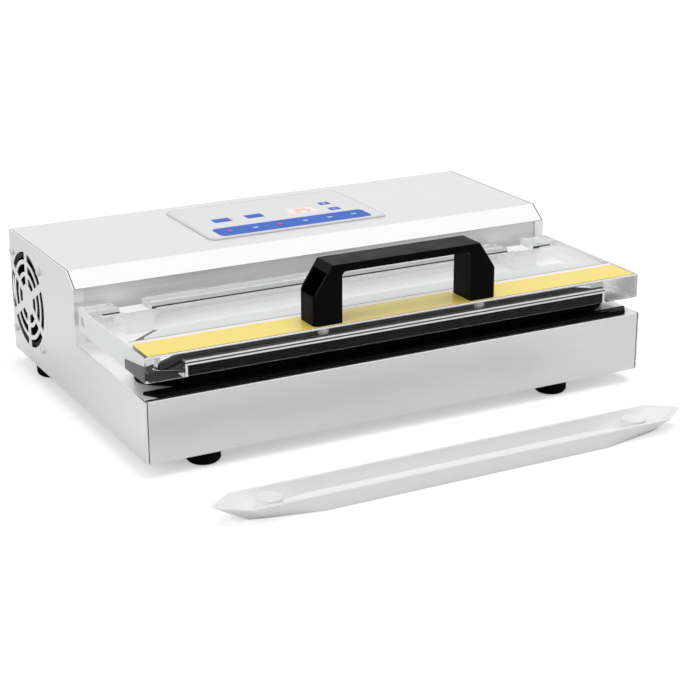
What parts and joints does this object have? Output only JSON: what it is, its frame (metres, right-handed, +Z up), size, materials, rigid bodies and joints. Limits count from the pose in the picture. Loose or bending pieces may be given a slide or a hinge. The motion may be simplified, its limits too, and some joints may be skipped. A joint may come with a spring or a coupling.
{
  "type": "vacuum sealer",
  "caption": "Bench-top vacuum sealer with a brushed steel housing, a clear hinged lid with a black handle over the sealing bar and chamber, a key panel and a loose drip tray.",
  "frame": {"origin": "middle of the housing's footprint, on the table", "axes": "+X along the front to the user's right, +Y from the front to the back, +Z up"},
  "size_m": [0.467, 0.4403, 0.1483],
  "materials": {
    "stainless": "brushed satin",
    "dark_rubber": "matte",
    "screw_steel": "polished",
    "black_foam": "matte foam",
    "seal_tape": "smooth tape",
    "clear_acrylic": "polished clear",
    "black_silicone": "satin",
    "yellow_film": "satin film",
    "white_nylon": "satin",
    "shaft_steel": "ground",
    "black_plastic": "fine grain",
    "panel_film": "satin film",
    "blue_film": "satin film",
    "display_film": "gloss",
    "red_light": "gloss",
    "board_green": "gloss lacquer",
    "brass_post": "turned",
    "pump_alloy": "cast",
    "motor_can": "satin",
    "hose_silicone": "satin",
    "core_iron": "laminated",
    "coil_wire": "taped winding",
    "pin_metal": "plated",
    "white_plastic": "satin"
  },
  "bodies": {
    "housing": {"base_plate": "stainless", "left_side_panel": "stainless", "right_side_panel": "stainless", "front_panel": "stainless", "deck_panel": "stainless", "bay_wall": "stainless", "top_cover": "stainless", "rear_panel": "stainless", "vacuum_trough": "stainless", "feet": "dark_rubber", "pump_mounts": "dark_rubber", "foot_screws": "screw_steel", "fan_screws": "screw_steel", "lower_gasket": "black_foam", "seal_bar": "seal_tape", "heating_strip": "seal_tape", "hinge_block_left": "white_nylon", "hinge_block_right": "white_nylon", "hinge_shaft": "shaft_steel", "fan_frame": "black_plastic", "power_inlet": "black_plastic", "switch_frame": "black_plastic", "panel_overlay": "panel_film", "status_strip": "blue_film", "display_window": "display_film", "status_lights": "red_light", "control_board": "board_green", "board_posts": "brass_post", "release_valve": "brass_post", "pump_head": "pump_alloy", "pump_motor": "motor_can", "vacuum_hose": "hose_silicone", "transformer_core": "core_iron", "transformer_coil": "coil_wire", "inlet_pins": "pin_metal"},
    "lid_body": {"lid": "clear_acrylic", "lid_gasket": "black_foam", "pressure_bar": "black_silicone", "pressure_bar_backing": "white_plastic", "front_strip": "yellow_film", "handle": "black_plastic", "handle_screws": "screw_steel"},
    "vacuum_key_body": {"vacuum_key": "blue_film"},
    "seal_key_body": {"seal_key": "blue_film"},
    "plus_key_body": {"plus_key": "blue_film"},
    "minus_key_body": {"minus_key": "blue_film"},
    "power_rocker_body": {"power_rocker": "black_plastic"},
    "fan_rotor_body": {"fan_rotor": "black_plastic"},
    "drip_tray_body": {"drip_tray": "white_plastic"}
  },
  "joints": [
    {"name": "lid_hinge", "type": "hinge", "parent": "housing", "child": "lid_body", "pos_m": [0, -0.0235, 0.0885], "axis": [-1, 0, 0], "range_deg": [0, 100]},
    {"name": "power_rocker_tilt", "type": "hinge", "parent": "housing", "child": "power_rocker_body", "pos_m": [-0.095, 0.1531, 0.054], "axis": [1, 0, 0], "range_deg": [0, 20]},
    {"name": "fan_spin", "type": "hinge", "parent": "housing", "child": "fan_rotor_body", "pos_m": [-0.2293, 0.1155, 0.069], "axis": [1, 0, 0], "continuous": true},
    {"name": "drip_tray_lift", "type": "slide", "parent": "housing", "child": "drip_tray_body", "axis": [0, 0, 1], "range_m": [0, 0.15]},
    {"name": "vacuum_key_press", "type": "slide", "parent": "housing", "child": "vacuum_key_body", "axis": [0, 0, -1], "range_m": [0, 0.00035], "stiffness_N_per_m": 800},
    {"name": "seal_key_press", "type": "slide", "parent": "housing", "child": "seal_key_body", "axis": [0, 0, -1], "range_m": [0, 0.00035], "stiffness_N_per_m": 800},
    {"name": "plus_key_press", "type": "slide", "parent": "housing", "child": "plus_key_body", "axis": [0, 0, -1], "range_m": [0, 0.00035], "stiffness_N_per_m": 800},
    {"name": "minus_key_press", "type": "slide", "parent": "housing", "child": "minus_key_body", "axis": [0, 0, -1], "range_m": [0, 0.00035], "stiffness_N_per_m": 800}
  ]
}
